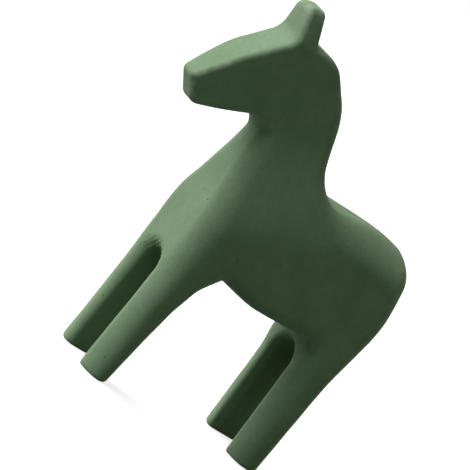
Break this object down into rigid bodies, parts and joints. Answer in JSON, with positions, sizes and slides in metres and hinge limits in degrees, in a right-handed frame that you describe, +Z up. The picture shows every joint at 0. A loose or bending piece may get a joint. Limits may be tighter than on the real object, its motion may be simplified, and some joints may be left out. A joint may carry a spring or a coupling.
{
  "type": "horse figurine",
  "caption": "Standing painted wooden horse ornament with straight legs, a flat forehead, a blunt muzzle and one block for the ears, carved from a glued-up block.",
  "frame": {"origin": "on the floor under the middle of the horse's length and width", "axes": "+Z up; -X the way the muzzle points; -Y the horse's left side"},
  "size_m": [0.1821, 0.0528, 0.2172],
  "materials": {
    "green_paint": "matt paint",
    "beech": "bare"
  },
  "bodies": {
    "root": {"core_board": "green_paint", "left_board": "green_paint", "right_board": "green_paint", "shoulder_dowel": "beech", "withers_dowel": "beech", "loin_dowel": "beech", "haunch_dowel": "beech"}
  },
  "joints": []
}
